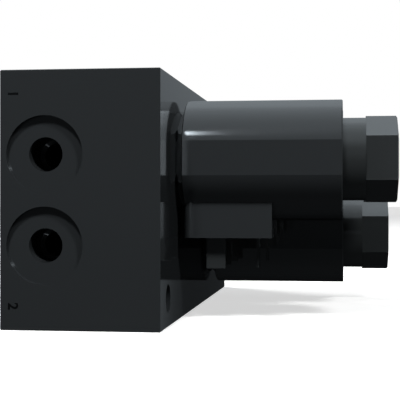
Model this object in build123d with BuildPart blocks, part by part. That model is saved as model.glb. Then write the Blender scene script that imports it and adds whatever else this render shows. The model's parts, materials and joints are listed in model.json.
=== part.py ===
from build123d import *
import math
import os

# Solenoid valve block: a drilled manifold bar with three screw-in solenoid cartridge valves.
# Frame: +X runs out of the valve face along the coils, Y along the bar, +Z up.
# The origin is the middle of the bar's bottom face. All lengths are in millimetres.

# Cartridge: seat, poppet and the cage around them, from the axis outwards
SEAT_RADIUS = 3.4
SEAT_LENGTH = 3.0
SEAT_GAP = 0.05
POPPET_LAND = 0.8
POPPET_TIP_DEPTH = 1.2
POPPET_LENGTH = 8.0
POPPET_CLEARANCE = 1.0
STEM_RADIUS = 2.0
STEM_CLEARANCE = 0.06
STEM_GRIP = 5.7
CAGE_WALL = 1.4
CAGE_CLEARANCE = 1.4
CROSS_HOLE_RADIUS = 1.6
CROSS_HOLE_PAIRS = 3

# Cartridge shank, from the hexagon inwards
THREAD_STEP = 1.1
THREAD_DEPTH = 14.0
NECK_UNDERCUT = 0.1
CHAMBER_LENGTH = 10.5
NOSE_LENGTH = 6.5
NOSE_END_CLEARANCE = 0.5
CAVITY_CLEARANCE = 0.05
HEX_ACROSS = 28.0
HEX_THICKNESS = 2.4
HEX_CHAMFER = 0.8
BAR_STOCK_ANGLE = 30.0

# O-rings: round section drawn with straight sides, and the room that their grooves leave them
SEAL_SIDES = 8
FLANGE_SEAL_SECTION = 1.9
FLANGE_SEAL_END_ROOM = 0.1
FLANGE_SEAL_SIDE_ROOM = 0.3
NOSE_GROOVE_WALL = 0.55
NOSE_GROOVE_DEPTH = 1.2
NOSE_SEAL_ROOM = 0.1
NOSE_GROOVE_ROOM = 1.25

# Manifold bar around the cavities
ROW_SPACING = 27.4
ROW_MARGIN = 26.3
BAR_END_MARGIN = 45.5
BAR_BACK_WALL = 14.0
EDGE_BREAK = 0.2
LINK_LENGTH = 4.5
LINK_RADIUS = 3.5

# Ports in the end faces, and the galleries behind them
PORT_RADIUS = 5.3
PORT_THREAD = 13.0
PORT_SHOULDER = 1.3
PORT_SHIFT = 0.3
SPOTFACE_RADIUS = 12.0
SPOTFACE_DEPTH = 1.8
DRILL_POINT_ANGLE = 118.0

# Mounting screw holes through the bar's width
SCREW_HOLE_RADIUS = 4.5
SCREW_HOLE_INSET = 14.75
SCREW_HOLE_HEIGHT = 9.0

# Guide tube, pole piece and armature
TUBE_RADIUS = 7.2
TUBE_WALL = 0.9
TUBE_STANDOFF = 5.6
TUBE_SETBACK = 4.4
SPIGOT_LENGTH = 4.0
SPIGOT_CLEARANCE = 0.02
ARMATURE_LENGTH = 21.7
ARMATURE_CLEARANCE = 0.05
ARMATURE_REST_GAP = 0.3
STROKE = 2.0
POLE_GAP = 0.3
STUD_STEP = 0.25
STUD_RECESS = 1.4
STUD_CHAMFER = 0.6
OIL_SLOT_WIDTH = 1.6
OIL_SLOT_DEPTH = 0.8

# Return spring between armature and pole piece
SPRING_RADIUS = 2.9
SPRING_WIRE = 0.8
SPRING_TURNS = 5
SPRING_POCKET_DEPTH = 10.0
SPRING_POCKET_CLEARANCE = 0.3
SPRING_END_GAP = 0.1

# Coil: moulded shell, steel yoke, bobbin and winding
COIL_RADIUS = 20.0
COIL_LENGTH = 52.0
COIL_SPACING = 3.0
COIL_BORE_CLEARANCE = 0.25
COIL_EDGE_CHAMFER = 0.3
SIDE_FLAT_DEPTH = 0.82
SHELL_WALL = 3.4
SHELL_END_WALL = 3.0
MOULD_CLEARANCE = 0.05
YOKE_WALL = 1.7
YOKE_DISC = 2.5
BOBBIN_WALL = 1.2
BOBBIN_FLANGE = 1.5
WINDING_CLEARANCE = 0.1
WINDING_MARGIN = 0.9

# Plug base on the side of the coil, with its flat pins and threaded insert
BASE_LENGTH = 29.1
BASE_WIDTH = 27.6
BASE_HEIGHT = 6.2
BASE_CORNER_RADIUS = 2.0
PIN_WIDTH = 6.3
PIN_THICKNESS = 0.8
PIN_LENGTH = 10.4
PIN_COVER = 1.4
PIN_SPACING = 18.2
PIN_OFFSET = -4.3
PIN_CORNER_CHAMFER = 0.3
PIN_TIP_CHAMFER = 0.2
EARTH_PIN_OFFSET = 9.1
EARTH_PIN_LENGTH = 10.6
INSERT_RADIUS = 2.3
INSERT_BORE = 1.25
INSERT_LENGTH = 6.0

# Coil nut: round collar and hexagon turned from one bar
COLLAR_RADIUS = 13.85
COLLAR_LENGTH = 7.6
NUT_ACROSS = 25.0
NUT_HEX_LENGTH = 10.4
NUT_CHAMFER = 0.4
NUT_CLEARANCE = 0.05

# Worked out from the sizes above. Radii of the cartridge and its cavity, from the axis outwards:
poppet_radius = SEAT_RADIUS + POPPET_LAND
poppet_tip_radius = SEAT_RADIUS - POPPET_TIP_DEPTH
cage_bore_radius = poppet_radius + POPPET_CLEARANCE
cage_radius = cage_bore_radius + CAGE_WALL
chamber_radius = cage_radius + CAGE_CLEARANCE
thread_radius = chamber_radius + THREAD_STEP
neck_radius = thread_radius - NECK_UNDERCUT
gland_radius = neck_radius + FLANGE_SEAL_SECTION + FLANGE_SEAL_SIDE_ROOM
groove_radius = cage_bore_radius + NOSE_GROOVE_WALL
nose_radius = groove_radius + NOSE_GROOVE_DEPTH
nose_bore_radius = nose_radius + CAVITY_CLEARANCE
nose_seal_section = nose_bore_radius - groove_radius - NOSE_SEAL_ROOM
gallery_radius = PORT_RADIUS - PORT_SHOULDER

# Distances along a valve are positive out of the valve face, negative into the bar.
gland_floor = -FLANGE_SEAL_SECTION - FLANGE_SEAL_END_ROOM
chamber_start = -THREAD_DEPTH
nose_start = chamber_start - CHAMBER_LENGTH
nose_tip = nose_start - NOSE_LENGTH
cavity_floor = nose_tip - NOSE_END_CLEARANCE
gallery_depth = cavity_floor - LINK_LENGTH
seat_face = nose_tip + SEAT_LENGTH
cross_hole_place = (chamber_start + nose_start) / 2

tube_bore_radius = TUBE_RADIUS - TUBE_WALL
tube_start = HEX_THICKNESS + TUBE_STANDOFF
spigot_end = tube_start + SPIGOT_LENGTH
armature_start = spigot_end + ARMATURE_REST_GAP
armature_end = armature_start + ARMATURE_LENGTH
pole_start = armature_end + STROKE + POLE_GAP
spring_floor = armature_end - SPRING_POCKET_DEPTH
stem_end = armature_start + STEM_GRIP

coil_start = HEX_THICKNESS
coil_end = coil_start + COIL_LENGTH
tube_end = coil_end - TUBE_SETBACK
collar_end = coil_end + COLLAR_LENGTH
nut_end = collar_end + NUT_HEX_LENGTH
stud_end = nut_end - STUD_RECESS
stud_radius = TUBE_RADIUS - STUD_STEP

coil_bore_radius = TUBE_RADIUS + COIL_BORE_CLEARANCE
pocket_radius = COIL_RADIUS - SHELL_WALL
pocket_start = coil_start + SHELL_END_WALL
pocket_end = coil_end - SHELL_END_WALL
yoke_radius = pocket_radius - MOULD_CLEARANCE
yoke_start = pocket_start + MOULD_CLEARANCE
yoke_end = pocket_end - MOULD_CLEARANCE
bobbin_radius = yoke_radius - YOKE_WALL - MOULD_CLEARANCE
bobbin_start = yoke_start + YOKE_DISC + MOULD_CLEARANCE
bobbin_end = yoke_end - YOKE_DISC - MOULD_CLEARANCE
barrel_radius = coil_bore_radius + BOBBIN_WALL
base_reach = COIL_RADIUS + BASE_HEIGHT
base_middle = coil_start + BASE_LENGTH / 2
pin_root = pocket_radius + PIN_COVER

# The bar is as wide, long and high as its cavities, coils and rows need
valve_pitch = 2 * COIL_RADIUS + COIL_SPACING
bar_width = BAR_BACK_WALL - gallery_depth
bar_length = 2 * valve_pitch + 2 * BAR_END_MARGIN
bar_height = 2 * ROW_MARGIN + ROW_SPACING
rows = {"lower": ROW_MARGIN, "upper": ROW_MARGIN + ROW_SPACING}
port_heights = {"lower": rows["lower"] - PORT_SHIFT, "upper": rows["upper"] + PORT_SHIFT}
nose_gallery = bar_width / 2 + gallery_depth
side_gallery = bar_width / 2 + cross_hole_place

# Each valve: its place in pitches along the bar, its row, and the way its plug base points
VALVES = {
    "near": (-1, "upper", -1),
    "middle": (0, "upper", -1),
    "far": (1, "lower", 1),
}

# Each port: its end of the bar, its row, its place across the bar, and the last valve it feeds
PORTS = (
    (-1, "upper", nose_gallery, "middle"),
    (-1, "lower", nose_gallery, "far"),
    (1, "upper", side_gallery, "near"),
    (1, "lower", side_gallery, "far"),
)


def seat_plane(pitches, row, base_side):
    """Plane on the valve face: local Z runs out along the valve, local X to its plug base."""
    return Plane(
        origin=(bar_width / 2, pitches * valve_pitch, rows[row]),
        x_dir=(0, 0, base_side),
        z_dir=(1, 0, 0),
    )


def section_plane(seat):
    """Plane through a valve's axis: local X runs out along the valve, local Y is the radius."""
    return Plane(origin=seat.origin, x_dir=seat.z_dir, z_dir=seat.y_dir)


def valve_axis(seat):
    """Line that a valve's turned pieces share."""
    return Axis(seat.origin, seat.z_dir)


def base_plane(seat, reach):
    """Plane square to the plug base, at a reach from the axis: local X runs out along the valve."""
    middle = seat.origin + seat.x_dir * reach + seat.z_dir * base_middle
    return Plane(origin=middle, x_dir=seat.z_dir, z_dir=seat.x_dir)


def hex_corner(across):
    """Radius of a hexagon's corners, from its size across the flats."""
    return across / math.sqrt(3)


def corner_cut(depth):
    """How far in a hexagon's end chamfer reaches, from its depth at the corners."""
    return depth / math.tan(math.radians(BAR_STOCK_ANGLE))


def manifold():
    """Bar with its ports, galleries, mounting holes and one stepped cavity per valve."""
    point = 1 / math.tan(math.radians(DRILL_POINT_ANGLE / 2))
    port_floor = SPOTFACE_DEPTH + PORT_THREAD
    shoulder = port_floor + PORT_SHOULDER * point
    with BuildPart() as bar:
        with BuildSketch():
            Rectangle(bar_width, bar_length)
        extrude(amount=bar_height)
        chamfer(bar.edges(), length=EDGE_BREAK)

        with BuildSketch(Plane.YZ.offset(bar_width / 2)):
            with Locations((0, SCREW_HOLE_HEIGHT)):
                with GridLocations(bar_length - 2 * SCREW_HOLE_INSET, 0, 2, 1):
                    Circle(SCREW_HOLE_RADIUS)
        extrude(amount=-bar_width, mode=Mode.SUBTRACT)

        # Spotface, tapped hole, shoulder and gallery of each port are one turned shape
        for side, row, place, last_valve in PORTS:
            reach = bar_length / 2 - side * VALVES[last_valve][0] * valve_pitch + gallery_radius
            mouth = (place, side * bar_length / 2, port_heights[row])
            with BuildSketch(Plane(origin=mouth, x_dir=(0, side, 0), z_dir=(1, 0, 0))):
                with BuildLine():
                    Polyline(
                        (0, 0),
                        (0, SPOTFACE_RADIUS),
                        (-SPOTFACE_DEPTH, SPOTFACE_RADIUS),
                        (-SPOTFACE_DEPTH, PORT_RADIUS),
                        (-port_floor, PORT_RADIUS),
                        (-shoulder, gallery_radius),
                        (-reach, gallery_radius),
                        (-reach - gallery_radius * point, 0),
                        close=True,
                    )
                make_face()
            revolve(axis=Axis(mouth, (0, side, 0)), mode=Mode.SUBTRACT)

        for place in VALVES.values():
            seat = seat_plane(*place)
            with BuildSketch(section_plane(seat)):
                with BuildLine():
                    Polyline(
                        (0, 0),
                        (0, gland_radius),
                        (gland_floor, gland_radius),
                        (gland_floor, thread_radius + CAVITY_CLEARANCE),
                        (chamber_start, thread_radius + CAVITY_CLEARANCE),
                        (chamber_start, chamber_radius),
                        (nose_start, chamber_radius),
                        (nose_start, nose_bore_radius),
                        (cavity_floor, nose_bore_radius),
                        (cavity_floor, LINK_RADIUS),
                        (gallery_depth, LINK_RADIUS),
                        (gallery_depth, 0),
                        close=True,
                    )
                make_face()
            revolve(axis=valve_axis(seat), mode=Mode.SUBTRACT)
    return bar


def cartridge_body(seat):
    """Turned body: chamfered hexagon, threaded shank, caged nose with its seat, tube spigot."""
    corner = hex_corner(HEX_ACROSS)
    face = corner - corner_cut(HEX_CHAMFER)
    groove_start = (nose_start + nose_tip + nose_seal_section + NOSE_GROOVE_ROOM) / 2
    groove_end = groove_start - nose_seal_section - NOSE_GROOVE_ROOM
    spigot_radius = tube_bore_radius - SPIGOT_CLEARANCE
    with BuildPart() as body:
        with BuildSketch(seat):
            RegularPolygon(HEX_ACROSS / 2, 6, major_radius=False)
        extrude(amount=HEX_THICKNESS)
        with BuildSketch(section_plane(seat)):
            with BuildLine():
                Polyline(
                    (0, 0),
                    (0, face),
                    (HEX_CHAMFER, corner),
                    (HEX_THICKNESS - HEX_CHAMFER, corner),
                    (HEX_THICKNESS, face),
                    (HEX_THICKNESS, 0),
                    close=True,
                )
            make_face()
        revolve(axis=valve_axis(seat), mode=Mode.INTERSECT)

        with BuildSketch(section_plane(seat)):
            with BuildLine():
                Polyline(
                    (nose_tip, 0),
                    (nose_tip, nose_radius),
                    (groove_end, nose_radius),
                    (groove_end, groove_radius),
                    (groove_start, groove_radius),
                    (groove_start, nose_radius),
                    (nose_start, nose_radius),
                    (nose_start, cage_radius),
                    (chamber_start, cage_radius),
                    (chamber_start, thread_radius),
                    (gland_floor, thread_radius),
                    (gland_floor, neck_radius),
                    (0, neck_radius),
                    (0, TUBE_RADIUS),
                    (tube_start, TUBE_RADIUS),
                    (tube_start, spigot_radius),
                    (spigot_end, spigot_radius),
                    (spigot_end, 0),
                    close=True,
                )
            make_face()
        revolve(axis=valve_axis(seat))

        # Stem guide, poppet chamber and seat along the axis
        with BuildSketch(section_plane(seat)):
            with BuildLine():
                Polyline(
                    (spigot_end, 0),
                    (spigot_end, STEM_RADIUS + STEM_CLEARANCE),
                    (chamber_start, STEM_RADIUS + STEM_CLEARANCE),
                    (chamber_start, cage_bore_radius),
                    (seat_face, cage_bore_radius),
                    (seat_face, SEAT_RADIUS),
                    (nose_tip, SEAT_RADIUS),
                    (nose_tip, 0),
                    close=True,
                )
            make_face()
        revolve(axis=valve_axis(seat), mode=Mode.SUBTRACT)

        # Ring of cross holes through the cage wall
        for pair in range(CROSS_HOLE_PAIRS):
            turned = seat.offset(cross_hole_place).rotated((0, 0, 180 * pair / CROSS_HOLE_PAIRS))
            with BuildSketch(Plane(origin=turned.origin, x_dir=turned.z_dir, z_dir=turned.x_dir)):
                Circle(CROSS_HOLE_RADIUS)
            extrude(amount=chamber_radius, both=True, mode=Mode.SUBTRACT)
    return body


def seal_ring(seat, place, radius, section):
    """O-ring around a valve's axis, with flat sides towards the walls of its groove."""
    with BuildPart() as ring:
        with BuildSketch(section_plane(seat)):
            with Locations((place, radius)):
                RegularPolygon(section / 2, SEAL_SIDES, major_radius=False, rotation=180 / SEAL_SIDES)
        revolve(axis=valve_axis(seat))
    return ring


def flange_seal(seat):
    """O-ring in the gland under the hexagon."""
    return seal_ring(seat, gland_floor / 2, (neck_radius + gland_radius) / 2, FLANGE_SEAL_SECTION)


def nose_seal(seat):
    """O-ring in the groove of the nose."""
    middle = (nose_start + nose_tip) / 2
    return seal_ring(seat, middle, (groove_radius + nose_bore_radius) / 2, nose_seal_section)


def guide_tube(seat):
    """Thin tube that joins the body to the pole piece and guides the armature."""
    with BuildPart() as tube:
        with BuildSketch(seat.offset(tube_start)):
            Circle(TUBE_RADIUS)
            Circle(tube_bore_radius, mode=Mode.SUBTRACT)
        extrude(amount=tube_end - tube_start)
    return tube


def pole_piece(seat):
    """Fixed core that closes the tube, with the stud that carries the coil nut."""
    with BuildPart() as pole:
        with BuildSketch(seat.offset(pole_start)):
            Circle(tube_bore_radius - SPIGOT_CLEARANCE)
        extrude(amount=tube_end - pole_start)
        with BuildSketch(seat.offset(tube_end)):
            Circle(stud_radius)
        extrude(amount=stud_end - tube_end)
        chamfer(pole.faces().sort_by(valve_axis(seat))[-1].edges(), length=STUD_CHAMFER)
    return pole


def armature(seat):
    """Sliding plunger with a spring pocket, a socket for the stem and two oil slots."""
    radius = tube_bore_radius - ARMATURE_CLEARANCE
    pocket = SPRING_RADIUS + SPRING_WIRE / 2 + SPRING_POCKET_CLEARANCE
    with BuildPart() as plunger:
        with BuildSketch(section_plane(seat)):
            with BuildLine():
                Polyline(
                    (armature_start, STEM_RADIUS),
                    (armature_start, radius),
                    (armature_end, radius),
                    (armature_end, pocket),
                    (spring_floor, pocket),
                    (spring_floor, 0),
                    (stem_end, 0),
                    (stem_end, STEM_RADIUS),
                    close=True,
                )
            make_face()
        revolve(axis=valve_axis(seat))
        with BuildSketch(seat.offset(armature_start)):
            with PolarLocations(radius, 2):
                Rectangle(2 * OIL_SLOT_DEPTH, OIL_SLOT_WIDTH)
        extrude(amount=ARMATURE_LENGTH, mode=Mode.SUBTRACT)
    return plunger


def poppet(seat):
    """Stem pressed into the armature, with the 45 degree cone that closes on the seat."""
    tip = seat_face - (SEAT_RADIUS - SEAT_GAP - poppet_tip_radius)
    cone_end = tip + poppet_radius - poppet_tip_radius
    with BuildPart() as cone:
        with BuildSketch(section_plane(seat)):
            with BuildLine():
                Polyline(
                    (tip, 0),
                    (tip, poppet_tip_radius),
                    (cone_end, poppet_radius),
                    (tip + POPPET_LENGTH, poppet_radius),
                    (tip + POPPET_LENGTH, STEM_RADIUS),
                    (stem_end, STEM_RADIUS),
                    (stem_end, 0),
                    close=True,
                )
            make_face()
        revolve(axis=valve_axis(seat))
    return cone


def return_spring(seat):
    """Square wire spring that pushes the armature away from the pole piece."""
    end_gap = SPRING_WIRE / 2 + SPRING_END_GAP
    start = seat.offset(spring_floor + end_gap)
    length = pole_start - spring_floor - 2 * end_gap
    with BuildPart() as spring:
        with BuildLine() as wire:
            Helix(
                length / SPRING_TURNS,
                length,
                SPRING_RADIUS,
                center=start.origin,
                direction=start.z_dir,
            )
        wire_start = wire.line @ 0
        wire_end = Plane(origin=wire_start, x_dir=wire_start - start.origin, z_dir=wire.line % 0)
        with BuildSketch(wire_end):
            Rectangle(SPRING_WIRE, SPRING_WIRE)
        sweep(path=wire.line, is_frenet=True)
    return spring


def coil_shell(seat):
    """Moulded shell: round body with two shallow side flats and the square plug base."""
    with BuildPart() as shell:
        with BuildSketch(seat.offset(coil_start)):
            Circle(COIL_RADIUS)
            Rectangle(2 * COIL_RADIUS, 2 * COIL_RADIUS - 2 * SIDE_FLAT_DEPTH, mode=Mode.INTERSECT)
        extrude(amount=COIL_LENGTH)
        chamfer(shell.faces().filter_by(valve_axis(seat)).edges(), length=COIL_EDGE_CHAMFER)

        # The plug base is rounded on the side that faces the bar
        with BuildSketch(base_plane(seat, 0)) as outline:
            Rectangle(BASE_LENGTH, BASE_WIDTH)
            fillet(outline.vertices().group_by(Axis.X)[0], radius=BASE_CORNER_RADIUS)
        extrude(amount=base_reach)

        with BuildSketch(section_plane(seat)):
            with BuildLine():
                Polyline(
                    (coil_start, 0),
                    (coil_start, coil_bore_radius),
                    (pocket_start, coil_bore_radius),
                    (pocket_start, pocket_radius),
                    (pocket_end, pocket_radius),
                    (pocket_end, coil_bore_radius),
                    (coil_end, coil_bore_radius),
                    (coil_end, 0),
                    close=True,
                )
            make_face()
        revolve(axis=valve_axis(seat), mode=Mode.SUBTRACT)

        # Slots that the pins sit in, and the socket of the threaded insert
        with BuildSketch(base_plane(seat, base_reach)):
            with Locations((PIN_OFFSET, PIN_SPACING / 2), (PIN_OFFSET, -PIN_SPACING / 2)):
                Rectangle(PIN_WIDTH, PIN_THICKNESS)
            with Locations((EARTH_PIN_OFFSET, 0)):
                Rectangle(PIN_THICKNESS, PIN_WIDTH)
        extrude(amount=pin_root - base_reach, mode=Mode.SUBTRACT)
        with BuildSketch(base_plane(seat, base_reach)):
            Circle(INSERT_RADIUS)
        extrude(amount=-INSERT_LENGTH, mode=Mode.SUBTRACT)
    return shell


def yoke_cup(seat):
    """Steel cup around the winding, open towards the coil nut."""
    with BuildPart() as cup:
        with BuildSketch(section_plane(seat)):
            with BuildLine():
                Polyline(
                    (yoke_start, coil_bore_radius),
                    (yoke_start, yoke_radius),
                    (yoke_end, yoke_radius),
                    (yoke_end, yoke_radius - YOKE_WALL),
                    (yoke_start + YOKE_DISC, yoke_radius - YOKE_WALL),
                    (yoke_start + YOKE_DISC, coil_bore_radius),
                    close=True,
                )
            make_face()
        revolve(axis=valve_axis(seat))
    return cup


def yoke_washer(seat):
    """Steel ring that closes the yoke under the coil nut."""
    with BuildPart() as washer:
        with BuildSketch(seat.offset(yoke_end)):
            Circle(bobbin_radius)
            Circle(coil_bore_radius, mode=Mode.SUBTRACT)
        extrude(amount=-YOKE_DISC)
    return washer


def bobbin(seat):
    """Flanged reel that the winding sits on."""
    with BuildPart() as reel:
        with BuildSketch(section_plane(seat)):
            with BuildLine():
                Polyline(
                    (bobbin_start, coil_bore_radius),
                    (bobbin_start, bobbin_radius),
                    (bobbin_start + BOBBIN_FLANGE, bobbin_radius),
                    (bobbin_start + BOBBIN_FLANGE, barrel_radius),
                    (bobbin_end - BOBBIN_FLANGE, barrel_radius),
                    (bobbin_end - BOBBIN_FLANGE, bobbin_radius),
                    (bobbin_end, bobbin_radius),
                    (bobbin_end, coil_bore_radius),
                    close=True,
                )
            make_face()
        revolve(axis=valve_axis(seat))
    return reel


def winding(seat):
    """Enamelled wire, as the one solid sleeve that it forms between the bobbin's flanges."""
    start = bobbin_start + BOBBIN_FLANGE + WINDING_CLEARANCE
    end = bobbin_end - BOBBIN_FLANGE - WINDING_CLEARANCE
    with BuildPart() as sleeve:
        with BuildSketch(seat.offset(start)):
            Circle(bobbin_radius - WINDING_MARGIN)
            Circle(barrel_radius + WINDING_CLEARANCE, mode=Mode.SUBTRACT)
        extrude(amount=end - start)
    return sleeve


def contact_pins(seat):
    """Two flat pins, broad side across the bar, with chamfered tips."""
    with BuildPart() as pins:
        with BuildSketch(base_plane(seat, pin_root)):
            with Locations((PIN_OFFSET, PIN_SPACING / 2), (PIN_OFFSET, -PIN_SPACING / 2)):
                Rectangle(PIN_WIDTH, PIN_THICKNESS)
        extrude(amount=base_reach + PIN_LENGTH - pin_root)
        side = Axis(seat.origin, seat.x_dir)
        tips = pins.faces().sort_by(side)[-2:].edges()
        chamfer(tips.filter_by(Axis.X), length=PIN_TIP_CHAMFER)
        edges = pins.edges().group_by(side)[-1]
        chamfer(edges.filter_by(Axis.Y), length=PIN_CORNER_CHAMFER)
    return pins


def earth_pin(seat):
    """Flat earth pin, turned a quarter turn from the other two."""
    with BuildPart() as pin:
        with BuildSketch(base_plane(seat, pin_root)):
            with Locations((EARTH_PIN_OFFSET, 0)):
                Rectangle(PIN_THICKNESS, PIN_WIDTH)
        extrude(amount=base_reach + EARTH_PIN_LENGTH - pin_root)
        side = Axis(seat.origin, seat.x_dir)
        chamfer(pin.faces().sort_by(side)[-1].edges().filter_by(Axis.Y), length=PIN_TIP_CHAMFER)
        edges = pin.edges().group_by(side)[-1]
        chamfer(edges.filter_by(Axis.X), length=PIN_CORNER_CHAMFER)
    return pin


def plug_insert(seat):
    """Threaded insert in the middle of the plug base, for the plug's screw."""
    with BuildPart() as insert:
        with BuildSketch(base_plane(seat, base_reach)):
            Circle(INSERT_RADIUS)
            Circle(INSERT_BORE, mode=Mode.SUBTRACT)
        extrude(amount=-INSERT_LENGTH)
    return insert


def coil_nut(seat):
    """Nut that clamps the coil: round collar, then a hexagon with a chamfered end."""
    corner = hex_corner(NUT_ACROSS)
    face = corner - corner_cut(NUT_CHAMFER)
    with BuildPart() as nut:
        with BuildSketch(seat.offset(collar_end)):
            RegularPolygon(NUT_ACROSS / 2, 6, major_radius=False)
        extrude(amount=NUT_HEX_LENGTH)
        with BuildSketch(section_plane(seat)):
            with BuildLine():
                Polyline(
                    (collar_end, 0),
                    (collar_end, corner),
                    (nut_end - NUT_CHAMFER, corner),
                    (nut_end, face),
                    (nut_end, 0),
                    close=True,
                )
            make_face()
        revolve(axis=valve_axis(seat), mode=Mode.INTERSECT)
        with BuildSketch(seat.offset(coil_end)):
            Circle(COLLAR_RADIUS)
        extrude(amount=COLLAR_LENGTH)
        with BuildSketch(seat.offset(coil_end)):
            Circle(stud_radius + NUT_CLEARANCE)
        extrude(amount=nut_end - coil_end, mode=Mode.SUBTRACT)
    return nut


PIECES = {
    "cartridge_body": cartridge_body,
    "flange_seal": flange_seal,
    "nose_seal": nose_seal,
    "guide_tube": guide_tube,
    "pole_piece": pole_piece,
    "armature": armature,
    "poppet": poppet,
    "return_spring": return_spring,
    "coil_shell": coil_shell,
    "yoke_cup": yoke_cup,
    "yoke_washer": yoke_washer,
    "bobbin": bobbin,
    "winding": winding,
    "contact_pins": contact_pins,
    "earth_pin": earth_pin,
    "plug_insert": plug_insert,
    "coil_nut": coil_nut,
}

os.makedirs("parts", exist_ok=True)
valve_block = manifold()
valve_block.part.label = "valve_block"
export_step(valve_block.part, "parts/valve_block.step")
for valve, place in VALVES.items():
    for piece, make in PIECES.items():
        made = make(seat_plane(*place))
        made.part.label = f"{valve}_{piece}"
        export_step(made.part, f"parts/{made.part.label}.step")
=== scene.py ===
import json
import math

import bmesh
import bpy
from bpy.props import FloatProperty, FloatVectorProperty, PointerProperty
from mathutils import Matrix, Vector


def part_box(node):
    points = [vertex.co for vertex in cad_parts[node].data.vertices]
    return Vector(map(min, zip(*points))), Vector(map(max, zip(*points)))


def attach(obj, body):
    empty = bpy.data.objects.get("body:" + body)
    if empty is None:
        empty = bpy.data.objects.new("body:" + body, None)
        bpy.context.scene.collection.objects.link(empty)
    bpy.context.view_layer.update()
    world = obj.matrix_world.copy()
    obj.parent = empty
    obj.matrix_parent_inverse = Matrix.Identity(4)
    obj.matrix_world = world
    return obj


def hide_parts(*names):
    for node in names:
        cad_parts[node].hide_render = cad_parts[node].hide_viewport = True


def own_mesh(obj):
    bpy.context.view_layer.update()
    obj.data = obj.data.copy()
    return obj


bl_info = {
    "name": "Solenoid valve block",
    "version": (1, 0, 0),
    "blender": (4, 5, 0),
    "location": "View3D > Sidebar > Valve block",
    "description": "Finishes, port numbers, springs and studio for a bar with three solenoid valves",
    "category": "Object",
}

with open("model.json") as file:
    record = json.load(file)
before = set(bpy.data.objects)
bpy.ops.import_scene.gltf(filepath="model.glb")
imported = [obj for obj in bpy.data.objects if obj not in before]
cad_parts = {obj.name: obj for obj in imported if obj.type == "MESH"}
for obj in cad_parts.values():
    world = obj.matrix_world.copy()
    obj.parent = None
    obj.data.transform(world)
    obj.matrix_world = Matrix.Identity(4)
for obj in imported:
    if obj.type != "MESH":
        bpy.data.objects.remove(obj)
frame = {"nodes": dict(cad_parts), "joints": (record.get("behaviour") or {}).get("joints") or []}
BODY = "block"
VALVES = ("near", "middle", "far")
MM = 0.001


def linear(hex_colour):
    """Turns an sRGB hex colour into linear red, green and blue."""
    shades = [int(hex_colour[start:start + 2], 16) / 255 for start in (1, 3, 5)]
    return tuple(s / 12.92 if s <= 0.04045 else ((s + 0.055) / 1.055) ** 2.4 for s in shades)


def per_metre(size_mm):
    """Texture scale at which one cell or ring of a pattern is this many millimetres."""
    return 1 / (size_mm * MM)


def colour_property(name, description, hex_colour):
    """A colour in the sidebar, given as sRGB hex."""
    return FloatVectorProperty(name=name, description=description, default=linear(hex_colour), size=3,
                               min=0, max=1, subtype="COLOR")


class BlockColours(bpy.types.PropertyGroup):
    """Colours of the finishes"""
    bar: colour_property("Bar", "Black dye of the anodised bar", "#2E3133")
    turned: colour_property("Turned steel", "Black passivation of cartridges and nuts", "#2E3132")
    moulded: colour_property("Coil shell", "Dyed nylon of the coil shells", "#2E3133")
    pins: colour_property("Pins", "Blackened brass of the plug pins", "#2E3132")
    # The numbers' near-black is painted shade: it stands in for the shade inside engraved figures
    number: colour_property("Numbers", "Dark paint of the port numbers", "#0B0C0D")
    steel: colour_property("Inner steel", "Ground steel of pole piece and plunger", "#B9BABC")
    stainless: colour_property("Guide tube", "Drawn stainless steel", "#C4C3C0")
    spring: colour_property("Springs", "Stainless wire of the return springs", "#B4B5B5")
    zinc: colour_property("Yoke", "Zinc plating of cup and washer", "#BFC3C6")
    wire: colour_property("Wire", "Enamelled copper of the winding", "#A4532A")
    bobbin: colour_property("Bobbin", "Black nylon of the bobbin", "#1E1F21")
    rubber: colour_property("Rubber", "Nitrile of the seals", "#151516")
    floor: colour_property("Floor", "Pale paper sweep under the object", "#F4F4F3")


class BlockSizes(bpy.types.PropertyGroup):
    """Sizes of what is added to the frame"""
    number_height: FloatProperty(name="Number height", description="Height of the figures",
                                 default=3.3 * MM, unit="LENGTH")
    number_inset: FloatProperty(name="Number inset", description="From the bar's left edge to the figures",
                                default=4.2 * MM, unit="LENGTH")
    number_margin: FloatProperty(name="Number margin", description="From the bar's top or bottom",
                                 default=7.4 * MM, unit="LENGTH")
    stroke_gain: FloatProperty(name="Stroke gain", description="How far the figures outgrow the font",
                               default=0.03)
    number_relief: FloatProperty(name="Number relief", description="How far the paint stands out",
                                 default=0.02 * MM, unit="LENGTH")


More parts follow.
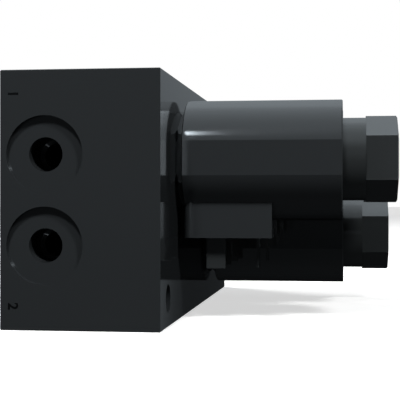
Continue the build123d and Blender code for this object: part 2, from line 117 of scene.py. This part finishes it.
class StudioSettings(bpy.types.PropertyGroup):
    """Camera and light"""
    camera_place: FloatVectorProperty(name="Camera", description="Place of the camera",
                                      default=(0.0805, -0.4156, 0.040), unit="LENGTH",
                                      subtype="TRANSLATION")
    camera_turn: FloatProperty(name="Turn", description="How far the camera is turned to the left of +Y",
                               default=0.132, unit="ROTATION", subtype="ANGLE")
    lens: FloatProperty(name="Lens", description="Focal length on a sensor 36 mm wide", default=99.0)
    key_place: FloatVectorProperty(name="Key", description="Place of the softbox on the upper left",
                                   default=(-0.07, -0.694, 0.896), unit="LENGTH", subtype="TRANSLATION")
    key_level: FloatProperty(name="Key level", description="Light on a face turned to it; 1 is plain",
                             default=0.56)
    key_size: FloatProperty(name="Key size", description="Side of the softbox", default=0.16,
                            unit="LENGTH")
    side_place: FloatVectorProperty(name="Side", description="Place of the softbox on the upper right",
                                    default=(0.623, -0.608, 0.926), unit="LENGTH", subtype="TRANSLATION")
    side_level: FloatProperty(name="Side level", description="Light on a face turned to it; 1 is plain",
                              default=0.48)
    side_size: FloatProperty(name="Side size", description="Side of the softbox", default=0.18,
                             unit="LENGTH")
    back_place: FloatVectorProperty(name="Back", description="Place of the softbox behind, on the left",
                                    default=(-0.8, 0.75, 0.8), unit="LENGTH", subtype="TRANSLATION")
    back_level: FloatProperty(name="Back level", description="Light on a face turned to it; 1 is plain",
                              default=0.6)
    back_size: FloatProperty(name="Back size", description="Side of the softbox", default=0.4,
                             unit="LENGTH")
    fill_above: FloatProperty(name="Fill above", description="Light from the upper half of the room",
                              default=0.045)
    fill_below: FloatProperty(name="Fill below", description="Light from the lower half of the room",
                              default=0.09)
    screen_radius: FloatProperty(name="Screen", description="From the object to the graduated screen",
                                 default=2.5, unit="LENGTH")
    panel_radius: FloatProperty(name="Panel", description="From the object to the panel and the apron",
                                default=2.3, unit="LENGTH")
    glint_radius: FloatProperty(name="Glint", description="From the near coil to the panel that it mirrors",
                                default=0.9, unit="LENGTH")


def add_node(tree, kind, inputs=None, **settings):
    """Adds a node, sets its properties, and sets or links each input named in inputs."""
    node = tree.nodes.new(kind)
    for name, value in settings.items():
        setattr(node, name, value)
    for socket, value in (inputs or {}).items():
        if isinstance(value, bpy.types.NodeSocket):
            tree.links.new(value, node.inputs[socket])
        else:
            node.inputs[socket].default_value = value
    return node


def new_surface(name, colour, roughness=0.5, metallic=0.0, ior=1.5):
    """A material with one Principled shader, whose roughness may come from its relief instead. Returns the
    material, its tree and the shader."""
    material = bpy.data.materials.new(name)
    material.use_nodes = True
    tree = material.node_tree
    tree.nodes.clear()
    shader = add_node(tree, "ShaderNodeBsdfPrincipled", {
        "Base Color": (*colour, 1), "Roughness": roughness, "Metallic": metallic, "IOR": ior})
    add_node(tree, "ShaderNodeOutputMaterial", {"Surface": shader.outputs["BSDF"]})
    return material, tree, shader


def add_relief(tree, shader, pattern, depth_mm, roughness=None):
    """Gives the shader a relief of this depth and, between two values, a roughness that follows it."""
    relief = add_node(tree, "ShaderNodeBump", {
        "Height": pattern, "Distance": depth_mm * MM, "Strength": 1.0})
    tree.links.new(relief.outputs["Normal"], shader.inputs["Normal"])
    if roughness:
        smoothest, roughest = roughness
        finish = add_node(tree, "ShaderNodeMapRange", {
            "Value": pattern, "To Min": smoothest, "To Max": roughest})
        tree.links.new(finish.outputs["Result"], shader.inputs["Roughness"])


def stretched_noise(tree, sizes_mm, detail=2.0):
    """Noise whose cells have these sizes along X, Y and Z, fixed to the object."""
    place = add_node(tree, "ShaderNodeTexCoord")
    cells = add_node(tree, "ShaderNodeMapping", {
        "Vector": place.outputs["Object"], "Scale": [per_metre(s) for s in sizes_mm]})
    noise = add_node(tree, "ShaderNodeTexNoise", {
        "Vector": cells.outputs["Vector"], "Scale": 1.0, "Detail": detail})
    return noise.outputs["Fac"]


# Bands that the wave texture draws along one unit of its vector, at a scale of 1
WAVE_BANDS = 20 / math.tau


def rings(tree, pitch_mm):
    """Even rings along X, as a turning tool or a wound wire leaves them."""
    place = add_node(tree, "ShaderNodeTexCoord")
    wave = add_node(tree, "ShaderNodeTexWave", {
        "Vector": place.outputs["Object"], "Scale": per_metre(pitch_mm) / WAVE_BANDS, "Distortion": 0.2},
        bands_direction="X", wave_profile="SIN")
    return wave.outputs["Fac"]


# Anodised aluminium, milled: dyed black oxide over metal. Even charcoal, with a mirror at a flat angle,
# and faint lines along the bar from the cutter. Their 0.1 mm is drawn as 0.5 mm, so that they show.
def anodised_aluminium(colour):
    material, tree, shader = new_surface("anodised_aluminium_milled", colour)
    pattern = stretched_noise(tree, sizes_mm=(0.5, 30, 0.5))
    add_relief(tree, shader, pattern, depth_mm=0.0001, roughness=(0.06, 0.1))
    return material


# Zinc-nickel plated steel, turned and passivated black: as dark as the bar, with faint lathe rings.
# Their 0.15 mm feed is drawn as 0.6 mm, so that they show.
def passivated_steel(colour):
    material, tree, shader = new_surface("passivated_steel_turned", colour)
    pattern = rings(tree, pitch_mm=0.6)
    add_relief(tree, shader, pattern, depth_mm=0.0002, roughness=(0.1, 0.14))
    return material


# Free-cutting steel, turned and phosphated: dull charcoal that spreads light, with the same lathe rings.
def phosphated_steel(colour):
    material, tree, shader = new_surface("free_cutting_steel_phosphated", colour)
    pattern = rings(tree, pitch_mm=0.6)
    add_relief(tree, shader, pattern, depth_mm=0.0008, roughness=(0.45, 0.55))
    return material


# Glass-filled nylon, moulded: dark gloss with the fine pebble of the mould, drawn at 0.8 mm to show.
def moulded_nylon(colour):
    material, tree, shader = new_surface("glass_filled_nylon_moulded", colour)
    pattern = stretched_noise(tree, sizes_mm=(0.8, 0.8, 0.8), detail=4.0)
    add_relief(tree, shader, pattern, depth_mm=0.0003, roughness=(0.08, 0.12))
    return material


# Brass, stamped and blackened: dark and fairly smooth, with drawn lines along the pin.
def blackened_brass(colour):
    material, tree, shader = new_surface("brass_stamped_blackened", colour)
    pattern = stretched_noise(tree, sizes_mm=(0.4, 0.4, 6))
    add_relief(tree, shader, pattern, depth_mm=0.0004, roughness=(0.13, 0.19))
    return material


# Painted shade of engraved figures: glossy near-black with a slight grain, which stands in for the shade
# inside the engraving. Here it stands a hair out of the face, because the bar's own mesh isn't cut.
def engraving_shade_paint(colour):
    material, tree, shader = new_surface("engraving_shade_painted", colour, roughness=0.15)
    pattern = stretched_noise(tree, sizes_mm=(0.3, 0.3, 0.3))
    add_relief(tree, shader, pattern, depth_mm=0.002)
    return material


# Free-cutting steel, ground: bright, with fine rings round the axis.
def ground_steel(colour):
    material, tree, shader = new_surface("free_cutting_steel_ground", colour, metallic=1.0)
    pattern = rings(tree, pitch_mm=0.3)
    add_relief(tree, shader, pattern, depth_mm=0.0005, roughness=(0.22, 0.32))
    return material


# Stainless steel, drawn: bright, with lines along the tube.
def drawn_stainless(colour):
    material, tree, shader = new_surface("stainless_steel_drawn", colour, metallic=1.0)
    pattern = stretched_noise(tree, sizes_mm=(12, 0.3, 0.3))
    add_relief(tree, shader, pattern, depth_mm=0.0006, roughness=(0.18, 0.28))
    return material


# Spring steel, drawn and coiled: stainless wire, grey, with faint marks from the die.
def spring_steel(colour):
    material, tree, shader = new_surface("spring_steel_drawn", colour, metallic=1.0)
    pattern = stretched_noise(tree, sizes_mm=(0.3, 0.3, 0.3))
    add_relief(tree, shader, pattern, depth_mm=0.0005, roughness=(0.2, 0.28))
    return material


# Mild steel, pressed and zinc plated: bluish white, slightly mottled.
def zinc_plated_steel(colour):
    material, tree, shader = new_surface("zinc_plated_steel_pressed", colour, metallic=1.0)
    pattern = stretched_noise(tree, sizes_mm=(1.5, 1.5, 1.5), detail=5.0)
    add_relief(tree, shader, pattern, depth_mm=0.002, roughness=(0.26, 0.42))
    return material


# Copper wire, enamelled and wound: brown-red turns, 0.4 mm apart, glossy from the enamel.
def enamelled_copper(colour):
    material, tree, shader = new_surface("enamelled_copper_wound", colour, roughness=0.25, metallic=1.0)
    pattern = rings(tree, pitch_mm=0.4)
    add_relief(tree, shader, pattern, depth_mm=0.15)
    return material


# Nylon, moulded with a dull surface: plain black.
def dull_nylon(colour):
    material, tree, shader = new_surface("nylon_moulded_dull", colour, roughness=0.5, ior=1.53)
    pattern = stretched_noise(tree, sizes_mm=(0.5, 0.5, 0.5))
    add_relief(tree, shader, pattern, depth_mm=0.004)
    return material


# Nitrile rubber, moulded: dull black with a faint bloom.
def nitrile_rubber(colour):
    material, tree, shader = new_surface("nitrile_rubber_moulded", colour, ior=1.52)
    pattern = stretched_noise(tree, sizes_mm=(0.7, 0.7, 0.7), detail=4.0)
    add_relief(tree, shader, pattern, depth_mm=0.003, roughness=(0.48, 0.62))
    return material


def coat(material, *pieces):
    """Puts a material on each valve's pieces of these names."""
    for valve in VALVES:
        for piece in pieces:
            put_on(material, frame["nodes"][f"{valve}_{piece}"])


def put_on(material, obj):
    """Makes this the one material of an object."""
    obj.data.materials.clear()
    obj.data.materials.append(material)


class VALVEBLOCK_OT_bar(bpy.types.Operator):
    """Finishes the manifold bar"""
    bl_idname = "valveblock.bar"
    bl_label = "Bar"

    def execute(self, context):
        put_on(anodised_aluminium(context.scene.block_colours.bar), frame["nodes"]["valve_block"])
        return {"FINISHED"}


class VALVEBLOCK_OT_numbers(bpy.types.Operator):
    """Sets a plain near-black number beside each port in the front end face, as painted shade in place of
    an engraved figure
    """
    bl_idname = "valveblock.numbers"
    bl_label = "Port numbers"

    def execute(self, context):
        sizes = context.scene.block_sizes
        # Painted shade in place of engraved figures
        paint = engraving_shade_paint(context.scene.block_colours.number)
        low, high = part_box("valve_block")
        across = low.x + sizes.number_inset
        heights = {"1": high.z - sizes.number_margin, "2": low.z + sizes.number_margin}
        for figure, height in heights.items():
            number = self.shape(figure, sizes)
            number.matrix_world = Matrix.Translation((across, low.y, height)) @ self.facing()
            put_on(paint, number)
            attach(number, BODY)
        return {"FINISHED"}

    def facing(self):
        """Turns a figure's plane onto the front end face, with its top towards the valves."""
        reads, up, out = Vector((0, 0, -1)), Vector((1, 0, 0)), Vector((0, -1, 0))
        return Matrix((reads, up, out)).transposed().to_4x4()

    def shape(self, figure, sizes):
        """One figure, centred, as tall and as far out of its plane as the settings say."""
        curve = bpy.data.curves.new(f"figure_{figure}", "FONT")
        curve.body = figure
        curve.extrude = 1.0
        curve.offset = sizes.stroke_gain
        outline = bpy.data.objects.new("outline", curve)
        mesh = bpy.data.meshes.new_from_object(outline)
        bpy.data.objects.remove(outline)
        bpy.data.curves.remove(curve)
        corners = [Vector(v.co) for v in mesh.vertices]
        low = Vector(map(min, zip(*corners)))
        high = Vector(map(max, zip(*corners)))
        scale = sizes.number_height / (high.y - low.y)
        mesh.transform(Matrix.Translation(-(low + high) / 2))
        mesh.transform(Matrix.Diagonal((scale, scale, sizes.number_relief, 1)))
        number = bpy.data.objects.new(f"port_number_{figure}", mesh)
        bpy.context.collection.objects.link(number)
        return number


class VALVEBLOCK_OT_turned(bpy.types.Operator):
    """Finishes the cartridges and coil nuts"""
    bl_idname = "valveblock.turned"
    bl_label = "Cartridges and nuts"

    def execute(self, context):
        colour = context.scene.block_colours.turned
        coat(passivated_steel(colour), "coil_nut")
        coat(phosphated_steel(colour), "cartridge_body")
        return {"FINISHED"}


class VALVEBLOCK_OT_shells(bpy.types.Operator):
    """Finishes the coil shells"""
    bl_idname = "valveblock.shells"
    bl_label = "Coil shells"

    def execute(self, context):
        coat(moulded_nylon(context.scene.block_colours.moulded), "coil_shell")
        return {"FINISHED"}


class VALVEBLOCK_OT_contacts(bpy.types.Operator):
    """Finishes the plug pins and threaded inserts"""
    bl_idname = "valveblock.contacts"
    bl_label = "Pins and inserts"

    def execute(self, context):
        brass = blackened_brass(context.scene.block_colours.pins)
        coat(brass, "contact_pins", "earth_pin", "plug_insert")
        return {"FINISHED"}


class VALVEBLOCK_OT_windings(bpy.types.Operator):
    """Finishes what the coil shells hold"""
    bl_idname = "valveblock.windings"
    bl_label = "Yokes, bobbins and windings"

    def execute(self, context):
        colours = context.scene.block_colours
        coat(zinc_plated_steel(colours.zinc), "yoke_cup", "yoke_washer")
        coat(dull_nylon(colours.bobbin), "bobbin")
        coat(enamelled_copper(colours.wire), "winding")
        return {"FINISHED"}


class VALVEBLOCK_OT_plungers(bpy.types.Operator):
    """Finishes guide tubes, pole pieces and plungers"""
    bl_idname = "valveblock.plungers"
    bl_label = "Plungers and tubes"

    def execute(self, context):
        colours = context.scene.block_colours
        coat(drawn_stainless(colours.stainless), "guide_tube")
        coat(ground_steel(colours.steel), "pole_piece", "armature", "poppet")
        return {"FINISHED"}


class VALVEBLOCK_OT_springs(bpy.types.Operator):
    """Puts a copy of each return spring in its place, in spring steel, and hides the original"""
    bl_idname = "valveblock.springs"
    bl_label = "Return springs"

    def execute(self, context):
        steel = spring_steel(context.scene.block_colours.spring)
        for joint in frame["joints"]:
            held = joint["deforming_nodes"][0]
            node, seat = held["node"], held["fixed_end_x_m"]
            name = node.replace("return_spring", "plunger_spring")
            spring = bpy.data.objects.new(name, frame["nodes"][node].data.copy())
            bpy.context.collection.objects.link(spring)
            put_on(steel, spring)
            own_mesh(spring)
            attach(spring, BODY)
            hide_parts(node)
        return {"FINISHED"}


class VALVEBLOCK_OT_seals(bpy.types.Operator):
    """Finishes the seals"""
    bl_idname = "valveblock.seals"
    bl_label = "Seals"

    def execute(self, context):
        coat(nitrile_rubber(context.scene.block_colours.rubber), "flange_seal", "nose_seal")
        return {"FINISHED"}


class VALVEBLOCK_OT_studio(bpy.types.Operator):
    """Sets floor, cloths, light and camera"""
    bl_idname = "valveblock.studio"
    bl_label = "Studio"

    # Half the side of the square floor
    FLOOR_HALF = 6.0
    # The floor lies this far under the bar, so that the two share no plane
    FLOOR_DROP = 0.05 * MM
    # Light that the floor gives by itself, so that it looks white outside the shadow
    FLOOR_LIFT = 0.62
    FLOOR_GRAIN_MM = (2, 2, 2)
    # Red, green and blue of the cloths, a little blue like the light that the photograph's black mirrors
    CLOTH_TINT = (0.89, 1.0, 1.08)
    SCREEN_HALF_WIDTH = 1.5
    # Brightness that the screen shows in a reflection, by degrees from the horizon in front, over the top
    SCREEN_SHADES = {0: 0.05, 30: 0.12, 41: 0.38, 49: 0.6, 58: 0.76, 75: 0.87, 87: 1.05, 98: 1.14,
                     112: 1.16, 121: 1.2, 136: 0.77, 147: 0.52, 154: 0.39, 176: 0.2, 181: 0.18, 183: 0.03,
                     195: 0.005, 215: 0.01, 240: 0.03, 270: 0.055, 345: 0.055, 357: 0.03, 360: 0.05}
    # The same for a narrow panel on the right, which the valve face mirrors by way of the near coil
    PANEL_SHADES = {-2: 2.6, 0.8: 5.5, 2.4: 9.6, 5: 9.6, 10: 10.0, 40: 7.5, 60: 7.0, 75: 10.0,
                    106: 9.0, 110: 0.0}
    PANEL_EDGES = (0.393, 0.46)
    # Dark squares at the two ends of the screen
    FLAG_HALF = 2.5
    FLAG_SHADE = 0.08
    # Brightness by place along X of a cloth low behind, which the foot of the valve face mirrors, and the
    # degrees that it spans
    APRON_SHADES = {0.25: 0.03, 0.3: 0.022, 0.36: 0.018, 0.412: 0.01, 0.416: 0.13, 0.5: 0.13}
    APRON_SPAN = (181, 189)
    # The same for the bright panel that the near coil mirrors, with degrees as seen from that coil
    GLINT_SHADES = {-0.15: 50.0, -0.106: 45.0, -0.1: 15.0, -0.094: 6.3, -0.087: 3.7, -0.08: 2.5,
                    -0.073: 1.4, -0.066: 0.7, -0.059: 0.25, -0.045: 0.0}
    GLINT_SPAN = (47.5, 55)
    # The room's two halves blend this far above and below the horizon, as the height of a direction of
    # length 1
    HORIZON_BLEND = 0.1
    SENSOR_WIDTH_MM = 36.0
    NEAREST_SEEN = 0.01

    def execute(self, context):
        studio = context.scene.studio_settings
        self.floor(context.scene.block_colours.floor)
        self.screen(studio.screen_radius)
        self.flags(self.SCREEN_HALF_WIDTH)
        self.panel(studio.panel_radius)
        self.apron(studio.panel_radius)
        self.glint(studio.glint_radius)
        self.room(context.scene, studio)
        self.softbox("key", studio.key_place, studio.key_level, studio.key_size, mirrored=False)
        self.softbox("side", studio.side_place, studio.side_level, studio.side_size, mirrored=False)
        self.softbox("back", studio.back_place, studio.back_level, studio.back_size, mirrored=True)
        self.camera(context.scene, studio)
        context.scene.view_settings.view_transform = "Standard"
        return {"FINISHED"}

    def new_mesh(self, name, rows, material):
        """A sheet through rows of points."""
        bm = bmesh.new()
        grid = [[bm.verts.new(point) for point in row] for row in rows]
        for first, second in zip(grid, grid[1:]):
            for a, b, c, d in zip(first, first[1:], second[1:], second):
                bm.faces.new((a, b, c, d))
        mesh = bpy.data.meshes.new(name)
        bm.to_mesh(mesh)
        bm.free()
        sheet = bpy.data.objects.new(name, mesh)
        bpy.context.collection.objects.link(sheet)
        put_on(material, sheet)
        return sheet

    def floor(self, colour):
        """A pale floor just under the bar that shows the shadow. It throws no light up, so undersides
        stay dark."""
        material, tree, shader = new_surface("paper_matt", colour, roughness=0.9)
        pattern = stretched_noise(tree, self.FLOOR_GRAIN_MM)
        add_relief(tree, shader, pattern, depth_mm=0.01)
        shader.inputs["Emission Color"].default_value = (1, 1, 1, 1)
        shader.inputs["Emission Strength"].default_value = self.FLOOR_LIFT
        half = self.FLOOR_HALF
        rows = [[(-half, y, -self.FLOOR_DROP), (half, y, -self.FLOOR_DROP)] for y in (-half, half)]
        floor = self.new_mesh("floor", rows, material)
        floor.visible_diffuse = False
        floor.visible_glossy = False

    def cloth(self, name, rows, shades):
        """A bluish sheet with one brightness per row of points. Only reflections see it."""
        material = bpy.data.materials.new(f"{name}_cloth")
        material.use_nodes = True
        tree = material.node_tree
        tree.nodes.clear()
        shade = add_node(tree, "ShaderNodeAttribute", attribute_name="shade")
        glow = add_node(tree, "ShaderNodeEmission", {
            "Color": (*self.CLOTH_TINT, 1), "Strength": shade.outputs["Fac"]})
        add_node(tree, "ShaderNodeOutputMaterial", {"Surface": glow.outputs["Emission"]})
        sheet = self.new_mesh(name, rows, material)
        levels = [level for row, level in zip(rows, shades) for _ in row]
        sheet.data.attributes.new("shade", "FLOAT", "POINT").data.foreach_set("value", levels)
        sheet.visible_camera = False
        sheet.visible_diffuse = False
        sheet.visible_shadow = False

    def on_arc(self, radius, degrees):
        """Y and Z on an arc round the X axis, at so many degrees from the horizon in front."""
        angle = math.radians(degrees)
        return -radius * math.cos(angle), radius * math.sin(angle)

    def bent_cloth(self, name, radius, shades, edges):
        """A cloth bent round the X axis between two edges, with its shades by degrees."""
        rows = [[(x, *self.on_arc(radius, degrees)) for x in edges] for degrees in shades]
        self.cloth(name, rows, shades.values())

    def flat_cloth(self, name, radius, shades, span, middle=(0, 0)):
        """A flat cloth that spans two degrees round a middle in Y and Z, with its shades along X."""
        ends = [self.on_arc(radius, degrees) for degrees in span]
        rows = [[(x, middle[0] + y, middle[1] + z) for y, z in ends] for x in shades]
        self.cloth(name, rows, shades.values())

    def screen(self, radius):
        """A cloth all round the object, dark in front and below, white above and grey behind. It keeps the
        white room out of faces that the photograph shows dark."""
        half = self.SCREEN_HALF_WIDTH
        self.bent_cloth("screen", radius, self.SCREEN_SHADES, (-half, half))

    def flags(self, distance):
        """Two dark cloths that close the screen at its ends."""
        reach = self.FLAG_HALF
        for name, x in (("flag_left", -distance), ("flag_right", distance)):
            rows = [[(x, y, -reach), (x, y, reach)] for y in (-reach, reach)]
            self.cloth(name, rows, [self.FLAG_SHADE] * len(rows))

    def panel(self, radius):
        """A bright panel far to the right, for the light band along the bar's front edge."""
        self.bent_cloth("panel", radius, self.PANEL_SHADES, self.PANEL_EDGES)

    def apron(self, radius):
        """A cloth low behind the object, dark with a lighter right end, for the foot of the light band."""
        self.flat_cloth("apron", radius, self.APRON_SHADES, self.APRON_SPAN)

    def glint(self, radius):
        """A narrow bright panel that fades to the right, for the streak on the near coil."""
        low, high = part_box("near_coil_shell")
        middle = (low.y, (low.z + high.z) / 2)
        self.flat_cloth("glint", radius, self.GLINT_SHADES, self.GLINT_SPAN, middle)

    def room(self, scene, studio):
        """A white room. It is seen and mirrored at full strength and lights the object weakly."""
        world = bpy.data.worlds.new("white_room")
        scene.world = world
        world.use_nodes = True
        tree = world.node_tree
        tree.nodes.clear()
        place = add_node(tree, "ShaderNodeTexCoord")
        heading = add_node(tree, "ShaderNodeSeparateXYZ", {"Vector": place.outputs["Generated"]})
        fill = add_node(tree, "ShaderNodeMapRange", {
            "Value": heading.outputs["Z"], "From Min": -self.HORIZON_BLEND, "From Max": self.HORIZON_BLEND,
            "To Min": studio.fill_below, "To Max": studio.fill_above})
        ray = add_node(tree, "ShaderNodeLightPath")
        mirrored = add_node(tree, "ShaderNodeMath", {
            0: ray.outputs["Is Camera Ray"], 1: ray.outputs["Is Glossy Ray"]}, operation="MAXIMUM")
        seen = add_node(tree, "ShaderNodeMath", {
            0: mirrored.outputs["Value"], 1: ray.outputs["Is Transmission Ray"]}, operation="MAXIMUM")
        strength = add_node(tree, "ShaderNodeMapRange", {
            "Value": seen.outputs["Value"], "To Min": fill.outputs["Result"], "To Max": 1.0})
        air = add_node(tree, "ShaderNodeBackground", {
            "Color": (1, 1, 1, 1), "Strength": strength.outputs["Result"]})
        add_node(tree, "ShaderNodeOutputWorld", {"Surface": air.outputs["Background"]})

    def softbox(self, name, place, level, size, mirrored):
        """A square softbox aimed at the bar. A level of 1 renders a colour that faces it as written. One
        that isn't mirrored gives light without a highlight."""
        place = Vector(place)
        lamp = bpy.data.lights.new(name, "AREA")
        lamp.shape = "SQUARE"
        lamp.size = size
        # A lamp of E watts lights a facing white surface at distance d to a brightness of E / (pi d)^2
        lamp.energy = level * (math.pi * place.length) ** 2
        softbox = bpy.data.objects.new(name, lamp)
        bpy.context.collection.objects.link(softbox)
        softbox.location = place
        softbox.rotation_euler = (-place).to_track_quat("-Z", "Y").to_euler()
        softbox.visible_glossy = mirrored

    def camera(self, scene, studio):
        """Level camera at half the bar's height, a little to its right and turned to the left."""
        lens = bpy.data.cameras.new("camera")
        lens.sensor_width = self.SENSOR_WIDTH_MM
        lens.lens = studio.lens
        lens.clip_start = self.NEAREST_SEEN
        camera = bpy.data.objects.new("camera", lens)
        bpy.context.collection.objects.link(camera)
        camera.location = studio.camera_place
        camera.rotation_euler = (math.pi / 2, 0, studio.camera_turn)
        scene.camera = camera


OPERATORS = (
    VALVEBLOCK_OT_bar, VALVEBLOCK_OT_numbers, VALVEBLOCK_OT_turned, VALVEBLOCK_OT_shells,
    VALVEBLOCK_OT_contacts, VALVEBLOCK_OT_windings, VALVEBLOCK_OT_plungers, VALVEBLOCK_OT_springs,
    VALVEBLOCK_OT_seals, VALVEBLOCK_OT_studio,
)


class VALVEBLOCK_PT_panel(bpy.types.Panel):
    """Lists the steps and their settings"""
    bl_idname = "VALVEBLOCK_PT_panel"
    bl_label = "Valve block"
    bl_space_type = "VIEW_3D"
    bl_region_type = "UI"
    bl_category = "Valve block"

    def draw(self, context):
        for setting in SETTINGS:
            group = getattr(context.scene, setting)
            box = self.layout.box()
            for name in group.bl_rna.properties.keys():
                if name not in ("rna_type", "name"):
                    box.prop(group, name)
        for operator in OPERATORS:
            self.layout.operator(operator.bl_idname)


SETTINGS = {"block_sizes": BlockSizes, "block_colours": BlockColours, "studio_settings": StudioSettings}
CLASSES = (*SETTINGS.values(), *OPERATORS, VALVEBLOCK_PT_panel)


def register():
    for cls in CLASSES:
        bpy.utils.register_class(cls)
    for name, group in SETTINGS.items():
        setattr(bpy.types.Scene, name, PointerProperty(type=group))


def unregister():
    for name in SETTINGS:
        delattr(bpy.types.Scene, name)
    for cls in reversed(CLASSES):
        bpy.utils.unregister_class(cls)


def main():
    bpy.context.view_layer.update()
    register()
    for operator in OPERATORS:
        category, action = operator.bl_idname.split(".")
        getattr(getattr(bpy.ops, category), action)()


if __name__ == "__main__":
    main()
